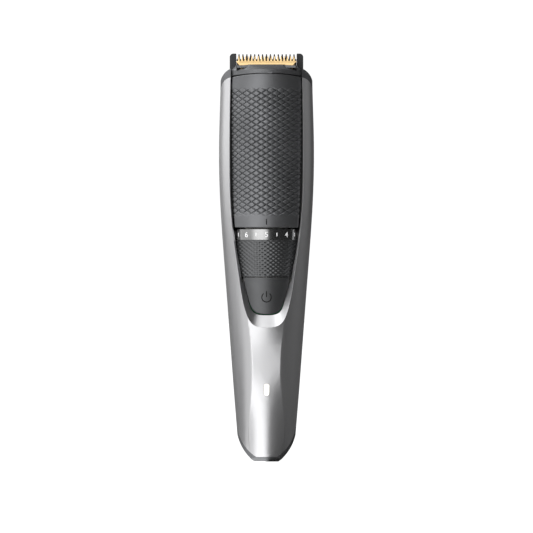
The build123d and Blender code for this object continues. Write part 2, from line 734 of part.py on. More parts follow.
with BuildPart() as cutter_holder:
    add(side_prism([(HINGE_Y, UNIT_FLOOR), (HINGE_Y, SLOPE_TOP), (-9.6, SLOPE_TOP), (-8.6, 167.3),
                    (-6.4, 167.2), (2.0, 165.6), (UNIT_BACK, 163.1), (UNIT_BACK, UNIT_FLOOR)],
                   COLLAR_SIDE))
    add(plan_of_unit(), mode=Mode.INTERSECT)
    add(slope_of_unit(), mode=Mode.INTERSECT)
    add(blade_slab(13.6, -3.1, 12, -GUARD_THICK, 0.9), mode=Mode.SUBTRACT)
    with Locations((0, -2.3, UNIT_FLOOR)):
        Box(14.4, 15.6, 2 * 2.8, mode=Mode.SUBTRACT)
    add(blade_slab(4.6, -2.6, -0.4, -6, 0), mode=Mode.SUBTRACT)
    add(panel_notch(), mode=Mode.SUBTRACT)
    add(guard_screw(0.8, 0, 12), mode=Mode.SUBTRACT)
    add(guard_screw(1.5, 3.4, 12), mode=Mode.SUBTRACT)
    with Locations((0, HINGE_Y, LIP_Z)):
        Cylinder(BEAD_R, 5, rotation=(0, 90, 0))
save(cutter_holder, "cutter_holder")

GUARD_TEETH = 15
GUARD_PITCH = 1.64
CUTTER_TEETH = 18
CUTTER_PITCH = 1.35


def teeth(count, pitch, root, tip, wide, narrow):
    """A row of tapered teeth on the blade plane."""
    for number in range(count):
        x = (number - (count - 1) / 2) * pitch
        Polygon((x - wide / 2, root), (x + wide / 2, root), (x + narrow / 2, tip),
                (x - narrow / 2, tip), align=None)


with BuildPart() as guard_blade:
    with BuildSketch(BLADES.offset(-GUARD_THICK)):
        with Locations((0, -0.15)):
            Rectangle(25.0, 5.7)
        teeth(GUARD_TEETH, GUARD_PITCH, 2.6, 5.65, 1.2, 0.35)
        with Locations((0, -1.5)):
            Rectangle(9.2, 2.2, mode=Mode.SUBTRACT)
        with Locations((-SCREW_X, SCREW_UP), (SCREW_X, SCREW_UP)):
            Circle(0.8, mode=Mode.SUBTRACT)
    extrude(amount=GUARD_THICK)
save(guard_blade, "guard_blade")

with BuildPart() as moving_cutter:
    with BuildSketch(BLADES.offset(CUTTER_GAP)):
        Polygon((-10.8, -2.7), (10.8, -2.7), (11.4, -0.9), (12.6, 0.8), (12.6, 1.35),
                (-12.6, 1.35), (-12.6, 0.8), (-11.4, -0.9), align=None)
        teeth(CUTTER_TEETH, CUTTER_PITCH, 1.3, 3.95, 0.75, 0.3)
    extrude(amount=CUTTER_THICK)
save(moving_cutter, "moving_cutter")

CARRIER_LOW = 161.5

with BuildPart() as cutter_carrier:
    with Locations((0, -2.1, CARRIER_LOW)):
        Box(11, 13.2, 1.5, align=(Align.CENTER, Align.CENTER, Align.MIN))
    add(blade_slab(3.0, -2.2, -0.8, -4.4, CUTTER_GAP))
    with Locations((0, 0.2, CARRIER_LOW)):
        Box(6.2, 6.4, 8, mode=Mode.SUBTRACT)
save(cutter_carrier, "cutter_carrier")

with BuildPart() as blade_spring:
    with Locations((0, 5.1, 162.4)):
        Box(12, 0.3, 1.8)
save(blade_spring, "blade_spring")

with BuildPart() as guard_screws:
    add(guard_screw(0.75, 0.1, 3.4))
    add(guard_screw(1.4, 3.5, 0.8))
save(guard_screws, "guard_screws")
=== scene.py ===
import json
import math

import bmesh
import bpy
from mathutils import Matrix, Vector
from mathutils.bvhtree import BVHTree


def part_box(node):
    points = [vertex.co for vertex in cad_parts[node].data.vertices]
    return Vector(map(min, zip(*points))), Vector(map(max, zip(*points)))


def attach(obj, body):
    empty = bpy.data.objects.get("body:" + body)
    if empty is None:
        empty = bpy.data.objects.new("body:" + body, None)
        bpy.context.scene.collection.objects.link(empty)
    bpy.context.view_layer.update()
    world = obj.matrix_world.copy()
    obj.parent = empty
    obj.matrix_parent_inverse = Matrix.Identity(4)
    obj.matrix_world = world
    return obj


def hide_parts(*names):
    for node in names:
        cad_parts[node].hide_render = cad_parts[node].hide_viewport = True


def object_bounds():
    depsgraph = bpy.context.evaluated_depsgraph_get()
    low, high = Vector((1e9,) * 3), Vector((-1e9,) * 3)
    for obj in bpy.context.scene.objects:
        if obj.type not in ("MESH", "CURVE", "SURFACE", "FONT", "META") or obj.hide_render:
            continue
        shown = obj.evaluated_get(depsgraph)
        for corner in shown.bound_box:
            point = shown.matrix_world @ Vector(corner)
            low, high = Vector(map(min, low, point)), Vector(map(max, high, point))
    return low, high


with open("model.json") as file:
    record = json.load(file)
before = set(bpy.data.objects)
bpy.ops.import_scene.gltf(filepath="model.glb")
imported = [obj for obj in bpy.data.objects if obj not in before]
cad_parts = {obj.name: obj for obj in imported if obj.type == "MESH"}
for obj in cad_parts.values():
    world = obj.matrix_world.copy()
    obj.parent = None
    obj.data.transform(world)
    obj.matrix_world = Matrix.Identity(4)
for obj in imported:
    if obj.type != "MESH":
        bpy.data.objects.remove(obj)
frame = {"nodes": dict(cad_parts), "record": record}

CAD_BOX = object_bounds()
NODES = frame["nodes"]
MM = 0.001

# ---------------------------------------------------------------- sizes
# Camera
FRAME_WIDTH = 0.2239       # width of the picture at the trimmer, in metres
LENS = 200.0
SENSOR = 36.0
LOOK_HEIGHT = 0.0814
FAR_CLIP = 20

# Finishes
EDGE_ROUND = 0.22 * MM     # how far sharp edges are softened where they catch the light
GLOSS_PATCHES = 260        # noise scales, in cycles per metre
TONE_PATCHES = 90
METAL_PATCHES = 160

# Front panel, whose radius is that of the CAD's panel
PANEL_R = 19.0 * MM
PANEL_THICK = 1.6 * MM
PANEL_COLUMNS = 300
PANEL_ROWS = 620
PANEL_ARCH = 1.0 * MM      # how far the top edge drops from its middle to its sides
PANEL_RIM = 0.35 * MM      # radius of the rounded border
SKIN_GAP = 0.02 * MM       # from the CAD panel's edge
SKIN_INSET = 0.03 * MM     # leaves room for the printed mark inside the CAD's own front
EDGE_MEASURED = 1.4 * MM   # the sides are measured up to this far below the top
DIAMOND_WIDE = 4.28 * MM
DIAMOND_HIGH = 2.37 * MM
GROOVE_DEPTH = 0.5 * MM
GROOVE_HALF = 0.26 * MM
PILLOW = 0.3               # how far the diamonds' corners droop, as a share of the groove
FIELD_START = (4.4 * MM, 7.2 * MM)    # heights above the panel's foot where the pattern fades in
FIELD_END = (7.6 * MM, 5.4 * MM)      # depths below its top where the pattern fades out

# Length wheel
KNURL_COUNT = 42
KNURL_HIGH = 1.66 * MM
KNURL_DEPTH = 0.42 * MM
KNURL_COLUMNS = 12         # points round each knurl
GRIP_ROWS = 120
GRIP_TAPER = 1.0 * MM      # how much narrower the grip is at its foot
GRIP_PLAIN = (0.1 * MM, 0.5 * MM)     # distances from its ends where the knurls fade in
MARK_STEP = math.radians(16)
MARK_COUNT = 20            # one mark for each half millimetre of comb
MARK_IN_FRONT = 10
DIGIT_HIGH = 2.25 * MM
DIGIT_SHARE = 0.72         # height of a digit as a share of its font size
DIGIT_BOLD = 0.03 * MM
TICK_WIDE = 0.42 * MM
TICK_HIGH = 1.5 * MM
PRINT_THICK = 0.03 * MM

# Marks on the front
SYMBOL_R = 1.95 * MM
SYMBOL_LINE = 0.44 * MM
SYMBOL_Z = 68.6 * MM
SYMBOL_GAP = math.radians(38)
SYMBOL_BAR = (0.1 * MM, 2.6 * MM)     # from the symbol's middle up
SYMBOL_TURNS = 48
INDEX_LINE = 0.42 * MM
INDEX_BAR = (1.2 * MM, 3.6 * MM)      # from the panel's foot up
INK_RISE = 0.02 * MM
INK_DEPTH = 0.06 * MM

# Blades, measured up the leaning blade plane from the blades' foot and out from the guard
BLADE_LEAN = math.radians(40)
CUTTER_LOW = 2.7 * MM      # how far the plate goes below the blades' foot
CUTTER_BACK = 0.05 * MM
CUTTER_FRONT = 0.55 * MM
PLATE_FRONT = 0.38 * MM
BAND_BACK = 0.3 * MM
CUTTER_TEETH = 18
CUTTER_PITCH = 1.35 * MM
TEETH_FOOT = 0.72 * MM
TOOTH_ROOT = 1.45 * MM
TOOTH_TIP = 3.95 * MM
TOOTH_HALF = 0.36 * MM     # half width at the root
TIP_HALF = 0.15 * MM
TIP_SLANT = 0.1 * MM
GAP_POINTS = 8
LIP_HALF = 12.2 * MM
LIP_LOW = -2.95 * MM
LIP_SIDE = -1.75 * MM      # top edge at its sides
LIP_ARCH = 0.58 * MM       # how much higher its middle is
LIP_STEPS = 20
LIP_BACK = 0.62 * MM
LIP_FRONT = 0.9 * MM

# Stage and light
FLOOR_SIZE = 3.0
ROOM_LIGHT = 0.018         # the dim light that comes from everywhere
WHITE_SHOWN = 1.05         # brightness of the backdrop and floor as the camera sees them

# Each soft light of the room: azimuth from the front (left is minus) and height in degrees,
# the angles where it is full and where it ends, how flat its shape is, and its strength.
SOFT_LIGHTS = [
    (-20, 3, 6, 30, 0.5, 1.75),
    (-66, 6, 6, 34, 0.5, 0.75),
    (-45, 48, 8, 32, 1.0, 1.5),
    (-30, 72, 8, 32, 1.0, 1.35),
    (-108, 24, 8, 34, 0.6, 1.2),
    (-126, 42, 8, 34, 1.0, 2.6),
    (112, 25, 8, 32, 0.6, 0.26),
    (-150, 20, 8, 45, 0.6, 0.25),
    (165, 35, 8, 45, 0.8, 0.12),
]
LOW_LIGHTS = SOFT_LIGHTS[:2]          # the two in front, which the floor carries on downwards


# ---------------------------------------------------------------- camera
def make_camera():
    """A long lens near the height of the trimmer's middle, square to its front."""
    data = bpy.data.cameras.new("camera")
    data.lens = LENS
    data.sensor_width = SENSOR
    data.clip_end = FAR_CLIP
    camera = bpy.data.objects.new("camera", data)
    camera.location = (0, -FRAME_WIDTH * LENS / SENSOR, LOOK_HEIGHT)
    camera.rotation_euler = (math.radians(90), 0, 0)
    bpy.context.scene.collection.objects.link(camera)
    bpy.context.scene.camera = camera


# ---------------------------------------------------------------- node helpers
def new_material(name, color, metallic, roughness):
    """A material with one shader, whose plain numbers are set on its own sockets."""
    made = bpy.data.materials.new(name)
    made.use_nodes = True
    shader = made.node_tree.nodes["Principled BSDF"]
    shader.inputs["Base Color"].default_value = (*color, 1)
    shader.inputs["Metallic"].default_value = metallic
    shader.inputs["Roughness"].default_value = roughness
    return made


def add_node(material, kind, **values):
    """A new node, with inputs given by name."""
    node = material.node_tree.nodes.new(kind)
    for name, value in values.items():
        node.inputs[name.replace("_", " ")].default_value = value
    return node


def link(material, out_node, out_name, in_node, in_name):
    """Join an output to an input, both given by name."""
    material.node_tree.links.new(out_node.outputs[out_name], in_node.inputs[in_name])


def object_noise(material, scale, detail=3.0, stretch=(1, 1, 1)):
    """Noise fixed to the piece, with scale in cycles per metre."""
    place = add_node(material, "ShaderNodeTexCoord")
    mapping = add_node(material, "ShaderNodeMapping")
    mapping.inputs["Scale"].default_value = stretch
    noise = add_node(material, "ShaderNodeTexNoise", Scale=scale, Detail=detail)
    link(material, place, "Object", mapping, "Vector")
    link(material, mapping, "Vector", noise, "Vector")
    return noise


def add_bump(material, noise, distance, strength):
    """Raise the surface by noise, on top of softly rounded edges."""
    shader = material.node_tree.nodes["Principled BSDF"]
    bump = add_node(material, "ShaderNodeBump", Strength=strength, Distance=distance)
    link(material, noise, "Fac", bump, "Height")
    edges = add_node(material, "ShaderNodeBevel", Radius=EDGE_ROUND)
    edges.samples = 6
    link(material, edges, "Normal", bump, "Normal")
    link(material, bump, "Normal", shader, "Normal")


def vary_roughness(material, noise, low, high):
    """Let the gloss wander with noise between two roughnesses."""
    shader = material.node_tree.nodes["Principled BSDF"]
    ranged = add_node(material, "ShaderNodeMapRange", To_Min=low, To_Max=high)
    link(material, noise, "Fac", ranged, "Value")
    link(material, ranged, "Result", shader, "Roughness")


def vary_color(material, noise, dark, light):
    """Let the colour wander with noise between a dark and a light tone."""
    shader = material.node_tree.nodes["Principled BSDF"]
    ramp = add_node(material, "ShaderNodeValToRGB")
    ramp.color_ramp.elements[0].position = 0.3
    ramp.color_ramp.elements[0].color = (*dark, 1)
    ramp.color_ramp.elements[1].position = 0.7
    ramp.color_ramp.elements[1].color = (*light, 1)
    link(material, noise, "Fac", ramp, "Fac")
    link(material, ramp, "Color", shader, "Base Color")


def moulded(name, color, roughness, grain=9000, depth=0.004 * MM, spread=0.06, metallic=0.0):
    """Plastic with a fine moulded grain and slight changes of tone and gloss.

    Some of it is metallic, for plastic that is painted or filled with flakes.
    """
    made = new_material(name, color, metallic, roughness)
    fine = object_noise(made, grain, 2)
    add_bump(made, fine, depth, 0.6)
    vary_roughness(made, object_noise(made, GLOSS_PATCHES, 4), roughness - spread, roughness + spread)
    lighter = tuple(c * 1.12 for c in color)
    darker = tuple(c * 0.9 for c in color)
    vary_color(made, object_noise(made, TONE_PATCHES, 3), darker, lighter)
    return made


def metal(name, color, roughness, grain=(1, 1, 1), scale=3000, depth=0.002 * MM, spread=0.05):
    """Bare or coated metal, whose grain can be drawn out along an axis."""
    made = new_material(name, color, 1, roughness)
    brushed = object_noise(made, scale, 3, grain)
    add_bump(made, brushed, depth, 0.5)
    vary_roughness(made, brushed, roughness - spread, roughness + spread)
    lighter = tuple(min(1, c * 1.06) for c in color)
    darker = tuple(c * 0.93 for c in color)
    vary_color(made, object_noise(made, METAL_PATCHES, 3), darker, lighter)
    return made


def silver_paint():
    """Silver lacquer: fine flakes under a clear coat."""
    made = new_material("silver_paint", (0.62, 0.62, 0.63), 0.9, 0.34)
    shader = made.node_tree.nodes["Principled BSDF"]
    shader.inputs["Coat Weight"].default_value = 0.35
    shader.inputs["Coat Roughness"].default_value = 0.12
    flakes = object_noise(made, 14000, 1)
    add_bump(made, flakes, 0.0015 * MM, 0.35)
    vary_roughness(made, object_noise(made, 300, 3), 0.31, 0.37)
    vary_color(made, flakes, (0.58, 0.58, 0.59), (0.66, 0.66, 0.67))
    return made


def glowing():
    """The milky light window, lit from inside, with a faint warm mottle."""
    made = new_material("light_window", (0.95, 0.93, 0.86), 0, 0.25)
    shader = made.node_tree.nodes["Principled BSDF"]
    shader.inputs["Emission Strength"].default_value = 1.1
    noise = object_noise(made, 900, 2)
    vary_color(made, noise, (0.9, 0.87, 0.78), (1, 0.98, 0.92))
    tint = add_node(made, "ShaderNodeValToRGB")
    tint.color_ramp.elements[0].color = (0.95, 0.88, 0.74, 1)
    tint.color_ramp.elements[1].color = (1, 0.97, 0.9, 1)
    link(made, noise, "Fac", tint, "Fac")
    link(made, tint, "Color", shader, "Emission Color")
    return made


def glowing_white_print():
    """White ink with a faint painted glow, so that it stays legible on the bright ring."""
    made = moulded("print_white_glow", (0.92, 0.92, 0.92), 0.5)
    shader = made.node_tree.nodes["Principled BSDF"]
    # Painted glow: the print gives off a little light of its own, though it is no lamp.
    shader.inputs["Emission Color"].default_value = (1, 1, 1, 1)
    shader.inputs["Emission Strength"].default_value = 0.3
    return made


LOOKS = {
    "silver_paint": silver_paint(),
    "dark_shell": moulded("dark_shell", (0.185, 0.188, 0.195), 0.46, metallic=0.75),
    "panel_plastic": moulded("panel_plastic", (0.185, 0.188, 0.195), 0.44, metallic=0.75),
    "grip_plastic": moulded("grip_plastic", (0.11, 0.112, 0.115), 0.36, metallic=0.7),
    "ring_metal": metal("ring_metal", (0.4, 0.4, 0.4), 0.2, grain=(30, 30, 1), scale=160),
    "button_metal": moulded("button_metal", (0.105, 0.107, 0.11), 0.4, metallic=0.75),
    "light_window": glowing(),
    "gold_coating": metal("gold_coating", (0.92, 0.66, 0.33), 0.3, grain=(12, 1, 1), scale=900),
    "blade_steel": metal("blade_steel", (0.035, 0.033, 0.03), 0.4, grain=(1, 8, 8), scale=900),
    "engraved_dark": moulded("engraved_dark", (0.008, 0.008, 0.008), 0.8),
    "print_white_glow": glowing_white_print(),
    "black_plastic": moulded("black_plastic", (0.025, 0.026, 0.028), 0.38),
    "inner_plastic": moulded("inner_plastic", (0.6, 0.6, 0.57), 0.5),
    "motor_steel": metal("motor_steel", (0.55, 0.55, 0.55), 0.32, grain=(1, 1, 14), scale=500),
    "bronze": metal("bronze", (0.6, 0.4, 0.18), 0.4),
    "magnet": metal("magnet", (0.12, 0.12, 0.12), 0.6),
    "copper": metal("copper", (0.8, 0.42, 0.25), 0.35),
    "battery_wrap": moulded("battery_wrap", (0.05, 0.25, 0.2), 0.3, grain=600),
    "circuit_green": moulded("circuit_green", (0.02, 0.2, 0.08), 0.35, grain=2500),
    "chip_black": moulded("chip_black", (0.02, 0.02, 0.02), 0.5),
    "black_rubber": moulded("black_rubber", (0.02, 0.02, 0.02), 0.65),
    "foam_pad": moulded("foam_pad", (0.06, 0.06, 0.06), 0.9, grain=2500, depth=0.05 * MM),
}


def dress_cad_nodes():
    """Give every carried-over CAD node the finish of its slot in the record."""
    for entry in frame["record"]["subparts"]:
        node = NODES[entry["node"]]
        node.data.materials.clear()
        node.data.materials.append(LOOKS[entry["material_slot"]])


# ---------------------------------------------------------------- mesh helpers
def new_piece(name, mesh, body, slot, look=None):
    """An object for a finished mesh, riding on its body in its slot's finish or its own."""
    piece = bpy.data.objects.new(name, mesh)
    bpy.context.scene.collection.objects.link(piece)
    mesh.materials.append(LOOKS[look or slot])
    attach(piece, body)
    return piece


def closed_sheet(name, columns, rows, outer, inner, wrap=False):
    """A closed shell between two grids of points, outer(u, v) and inner(u, v), each 0 to 1.

    With wrap, the grids close into a ring.
    """
    verts = []
    for place in (outer, inner):
        for row in range(rows + 1):
            for column in range(columns + (0 if wrap else 1)):
                verts.append(place(column / columns, row / rows))
    across = columns if wrap else columns + 1
    layer = across * (rows + 1)
    faces = []

    def at(side, column, row):
        return side * layer + row * across + column % across

    for row in range(rows):
        for column in range(columns):
            a = (at(0, column, row), at(0, column + 1, row), at(0, column + 1, row + 1),
                 at(0, column, row + 1))
            b = (at(1, column, row), at(1, column, row + 1), at(1, column + 1, row + 1),
                 at(1, column + 1, row))
            faces += [a, b]
    for column in range(columns):
        faces.append((at(0, column + 1, 0), at(0, column, 0), at(1, column, 0),
                      at(1, column + 1, 0)))
        faces.append((at(0, column, rows), at(0, column + 1, rows), at(1, column + 1, rows),
                      at(1, column, rows)))
    if not wrap:
        for row in range(rows):
            faces.append((at(0, 0, row), at(0, 0, row + 1), at(1, 0, row + 1), at(1, 0, row)))
            faces.append((at(0, columns, row + 1), at(0, columns, row), at(1, columns, row),
                          at(1, columns, row + 1)))
    mesh = bpy.data.meshes.new(name)
    mesh.from_pydata(verts, [], faces)
    mesh.update()
    work = bmesh.new()
    work.from_mesh(mesh)
    bmesh.ops.recalc_face_normals(work, faces=work.faces)
    work.to_mesh(mesh)
    work.free()
    mesh.shade_smooth()
    mesh.set_sharp_from_angle(angle=math.radians(50))
    return mesh


def finished_mesh(name, work):
    """Turn bmesh geometry into a mesh and free it."""
    mesh = bpy.data.meshes.new(name)
    work.to_mesh(mesh)
    work.free()
    return mesh


def smooth_step(value, low, high):
    """0 below low, 1 above high, and a smooth rise between them."""
    share = min(1, max(0, (value - low) / (high - low)))
    return share * share * (3 - 2 * share)


def tree_of(node):
    """A search tree over a CAD node's faces."""
    mesh = NODES[node].data
    return BVHTree.FromPolygons([v.co for v in mesh.vertices], [p.vertices for p in mesh.polygons])


def front_of(tree, x, z):
    """The first point of a surface met from the front at x, z, or None."""
    start = Vector((x, 2 * CAD_BOX[0][1], z))
    return tree.ray_cast(start, Vector((0, 1, 0)))[0]


# ---------------------------------------------------------------- diamond panel
def diamond_sink(across, up):
    """How far the crossed grooves sink at a point on the flattened panel."""
    slope = math.hypot(1 / DIAMOND_WIDE, 1 / DIAMOND_HIGH)
    sink = 0
    droop = 0
    for run in (across / DIAMOND_WIDE + up / DIAMOND_HIGH, across / DIAMOND_WIDE - up / DIAMOND_HIGH):
        from_line = abs(run - round(run))
        sink = max(sink, 1 - smooth_step(from_line / slope, 0.3 * GROOVE_HALF, GROOVE_HALF))
        droop += (1 - 2 * from_line) ** 2
    return GROOVE_DEPTH * (sink + PILLOW * droop)


def rounded_rim(distance):
    """How far the panel's rounded border sinks at a distance from its edge."""
    if distance >= PANEL_RIM:
        return 0
    return PANEL_RIM - math.sqrt(max(0, PANEL_RIM ** 2 - (PANEL_RIM - distance) ** 2))


def half_width(tree, z, limit):
    """Half the width of a CAD node at height z, found by halving."""
    near = limit / 2
    far = limit
    for _ in range(14):
        half = (near + far) / 2
        if front_of(tree, half, z):
            near = half
        else:
            far = half
    return near


def make_panel():
    """The convex front panel with its field of raised diamonds."""
    low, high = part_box("front_panel")
    middle = low.y + PANEL_R
    foot = low.z + SKIN_GAP
    tree = tree_of("front_panel")
    measured = high.z - low.z - EDGE_MEASURED
    edges = [half_width(tree, foot + measured * row / PANEL_ROWS, high.x + MM)
             for row in range(PANEL_ROWS + 1)]

    def spot(u, v):
        half = edges[round(v * PANEL_ROWS)] - SKIN_GAP
        x = half * (2 * u - 1)
        top = high.z - PANEL_ARCH * (x / half) ** 2
        return x, foot + (top - SKIN_GAP - foot) * v

    def on_cylinder(x, z, radius):
        angle = x / PANEL_R
        return (radius * angle, middle - radius * math.sqrt(1 - angle ** 2), z)

    def outer(u, v):
        x, z = spot(u, v)
        across = PANEL_R * math.asin(x / PANEL_R)
        fade = smooth_step(z, low.z + FIELD_START[0], low.z + FIELD_START[1])
        fade *= 1 - smooth_step(z, high.z - FIELD_END[0], high.z - FIELD_END[1])
        sink = fade * diamond_sink(across, z - low.z)
        sink += rounded_rim(min(u, 1 - u) * 2 * edges[round(v * PANEL_ROWS)])
        sink += rounded_rim(min(v, 1 - v) * (high.z - low.z))
        return on_cylinder(x, z, PANEL_R - SKIN_INSET - sink)

    def inner(u, v):
        x, z = spot(u, v)
        return on_cylinder(x, z, PANEL_R - PANEL_THICK)

    mesh = closed_sheet("panel_skin", PANEL_COLUMNS, PANEL_ROWS, outer, inner)
    piece = new_piece("panel_skin", mesh, "root", "panel_plastic")
    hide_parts("front_panel")


# ---------------------------------------------------------------- wheel
def make_grip():
    """The wheel's knurled grip: a cone covered with small pyramids."""
    low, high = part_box("wheel_grip")
    top_radius = high.x
    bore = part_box("wheel_core")[1].x

    def ring(u, radius, z):
        angle = 2 * math.pi * u
        return (radius * math.cos(angle), radius * math.sin(angle), z)

    def outer(u, v):
        z = low.z + (high.z - low.z) * v
        across = u * KNURL_COUNT
        up = (z - low.z) / KNURL_HIGH
        sink = 0
        for run in (across + up, across - up):
            sink += 0.5 - abs(run - round(run))
        fade = smooth_step(min(z - low.z, high.z - z), *GRIP_PLAIN)
        sink = sink * fade + 0.25 * (1 - fade)
        return ring(u, top_radius - GRIP_TAPER * (1 - v) - KNURL_DEPTH * sink, z)

    def inner(u, v):
        return ring(u, bore, low.z + (high.z - low.z) * v)

    mesh = closed_sheet("grip_skin", KNURL_COUNT * KNURL_COLUMNS, GRIP_ROWS, outer, inner, wrap=True)
    piece = new_piece("grip_skin", mesh, "wheel", "grip_plastic")
    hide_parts("wheel_grip")


def wrapped(mesh, radius, angle, height):
    """Bend a flat mesh (x across, y up, z out) round the wheel at an angle from the front."""
    for vertex in mesh.vertices:
        turn = angle + vertex.co.x / radius
        out = radius + vertex.co.z
        up = height + vertex.co.y
        vertex.co = (out * math.sin(turn), -out * math.cos(turn), up)


def flat_text(words, high):
    """Plain lettering as a thin flat mesh, centred on the origin."""
    data = bpy.data.curves.new("digit", "FONT")
    data.body = words
    data.size = high / DIGIT_SHARE
    data.extrude = PRINT_THICK
    data.offset = DIGIT_BOLD
    data.resolution_u = 8
    made = bpy.data.objects.new("digit", data)
    bpy.context.scene.collection.objects.link(made)
    bpy.context.view_layer.update()
    mesh = bpy.data.meshes.new_from_object(made)
    bpy.data.objects.remove(made)
    xs = [v.co.x for v in mesh.vertices]
    ys = [v.co.y for v in mesh.vertices]
    middle = Vector(((min(xs) + max(xs)) / 2, (min(ys) + max(ys)) / 2, 0))
    for vertex in mesh.vertices:
        vertex.co -= middle
    return mesh


def flat_bar(wide, high):
    """A thin flat bar, centred on the origin."""
    work = bmesh.new()
    bmesh.ops.create_cube(work, size=1)
    for vertex in work.verts:
        vertex.co = (vertex.co.x * wide, vertex.co.y * high, vertex.co.z * 2 * PRINT_THICK)
    bmesh.ops.bevel(work, geom=work.edges[:], offset=PRINT_THICK / 2, segments=1)
    return finished_mesh("tick", work)


def make_digits():
    """The wheel's marks: a number for each whole millimetre and a tick for each half."""
    low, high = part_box("number_ring")
    work = bmesh.new()
    for mark in range(1, MARK_COUNT + 1):
        if mark % 2 == 0:
            mesh = flat_text(str(mark // 2), DIGIT_HIGH)
        else:
            mesh = flat_bar(TICK_WIDE, TICK_HIGH)
        wrapped(mesh, high.x, (MARK_IN_FRONT - mark) * MARK_STEP, (low.z + high.z) / 2)
        work.from_mesh(mesh)
    joined = finished_mesh("setting_marks", work)
    new_piece("setting_marks", joined, "wheel", "ring_metal", look="print_white_glow")


# ---------------------------------------------------------------- marks on the front
def laid_strip(name, node, path, wide, body, rise):
    """A thin strip of ink along a path in the front view, standing rise proud of a CAD node."""
    tree = tree_of(node)
    work = bmesh.new()
    rings = []
    for number, (x, z) in enumerate(path):
        before = path[max(0, number - 1)]
        after = path[min(len(path) - 1, number + 1)]
        along = Vector((after[0] - before[0], after[1] - before[1])).normalized()
        side = Vector((-along.y, along.x)) * wide / 2
        ring = []
        for sign, sink in ((-1, -rise), (1, -rise), (1, INK_DEPTH), (-1, INK_DEPTH)):
            spot = front_of(tree, x + sign * side.x, z + sign * side.y)
            ring.append(work.verts.new(spot + Vector((0, sink, 0))))
        rings.append(ring)
    for first, second in zip(rings, rings[1:]):
        for corner in range(4):
            after = (corner + 1) % 4
            work.faces.new((first[corner], first[after], second[after], second[corner]))
    work.faces.new(rings[0][::-1])
    work.faces.new(rings[-1])
    bmesh.ops.recalc_face_normals(work, faces=work.faces)
    mesh = finished_mesh(name, work)
    mesh.shade_smooth()
    new_piece(name, mesh, body, "black_plastic", look="engraved_dark")


def upright(foot, ends):
    """A short upright path on the front's middle line, between two heights above foot."""
    return [(0, foot + ends[0] + (ends[1] - ends[0]) * step / 3) for step in range(4)]


def make_symbol():
    """The power symbol: an open ring and a bar."""
    ring = []
    for number in range(SYMBOL_TURNS + 1):
        angle = SYMBOL_GAP + 2 * (math.pi - SYMBOL_GAP) * number / SYMBOL_TURNS
        ring.append((SYMBOL_R * math.sin(angle), SYMBOL_Z + SYMBOL_R * math.cos(angle)))
    laid_strip("power_ring", "power_button", ring, SYMBOL_LINE, "button", INK_RISE)
    bar = upright(SYMBOL_Z, SYMBOL_BAR)
    laid_strip("power_bar", "power_button", bar, SYMBOL_LINE, "button", INK_RISE)


def make_index_mark():
    """The short line on the panel that the wheel's numbers are read against."""
    line = upright(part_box("front_panel")[0].z, INDEX_BAR)
    laid_strip("index_mark", "front_panel", line, INDEX_LINE, "root", 0)


# ---------------------------------------------------------------- gold cutter and lip
def teeth_outline():
    """The cutter's row of tapered teeth with round gaps."""
    row_end = (CUTTER_TEETH - 1) / 2 * CUTTER_PITCH + TOOTH_HALF
    points = [(-row_end, TEETH_FOOT), (row_end, TEETH_FOOT)]
    gap_half = CUTTER_PITCH / 2 - TOOTH_HALF
    for number in range(CUTTER_TEETH):
        x = ((CUTTER_TEETH - 1) / 2 - number) * CUTTER_PITCH
        points += [(x + TOOTH_HALF, TOOTH_ROOT), (x + TIP_HALF, TOOTH_TIP - TIP_SLANT),
                   (x, TOOTH_TIP), (x - TIP_HALF, TOOTH_TIP - TIP_SLANT),
                   (x - TOOTH_HALF, TOOTH_ROOT)]
        if number < CUTTER_TEETH - 1:
            for step in range(1, GAP_POINTS):
                turn = math.pi * step / GAP_POINTS
                points.append((x - CUTTER_PITCH / 2 + gap_half * math.cos(turn),
                               TOOTH_ROOT - gap_half * math.sin(turn)))
    return points


def blade_prism(work, outline, back, front, foot):
    """Add an outline on the leaning blade plane as a solid, from back to front of it."""
    up = Vector((0, math.sin(BLADE_LEAN), math.cos(BLADE_LEAN)))
    out = Vector((0, -math.cos(BLADE_LEAN), math.sin(BLADE_LEAN)))
    rings = []
    for depth in (back, front):
        rings.append([work.verts.new(foot + Vector((x, 0, 0)) + up * v + out * depth)
                      for x, v in outline])
    work.faces.new(rings[0])
    work.faces.new(rings[1][::-1])
    count = len(outline)
    for number in range(count):
        after = (number + 1) % count
        work.faces.new((rings[0][number], rings[1][number], rings[1][after], rings[0][after]))


def blade_foot():
    """The point on the guard's face where the blades' own measures start."""
    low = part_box("moving_cutter")[0]
    lean_sin = math.sin(BLADE_LEAN)
    lean_cos = math.cos(BLADE_LEAN)
    return Vector((0, low.y + CUTTER_LOW * lean_sin + CUTTER_FRONT * lean_cos,
                   low.z + CUTTER_LOW * lean_cos - CUTTER_BACK * lean_sin))


def in_millimetres(outline):
    """An outline written in millimetres, in metres."""
    return [(x * MM, v * MM) for x, v in outline]


def make_lip():
    """The holder's arched front edge, which covers the foot of the cutter."""
    outline = [(-LIP_HALF, LIP_LOW), (LIP_HALF, LIP_LOW)]
    for step in range(LIP_STEPS + 1):
        share = step / LIP_STEPS
        outline.append((LIP_HALF * (1 - 2 * share), LIP_SIDE + LIP_ARCH * math.sin(math.pi * share)))
    work = bmesh.new()
    blade_prism(work, outline, LIP_BACK, LIP_FRONT, blade_foot())
    bmesh.ops.recalc_face_normals(work, faces=work.faces)
    new_piece("holder_lip", finished_mesh("holder_lip", work), "cutting_unit", "dark_shell")


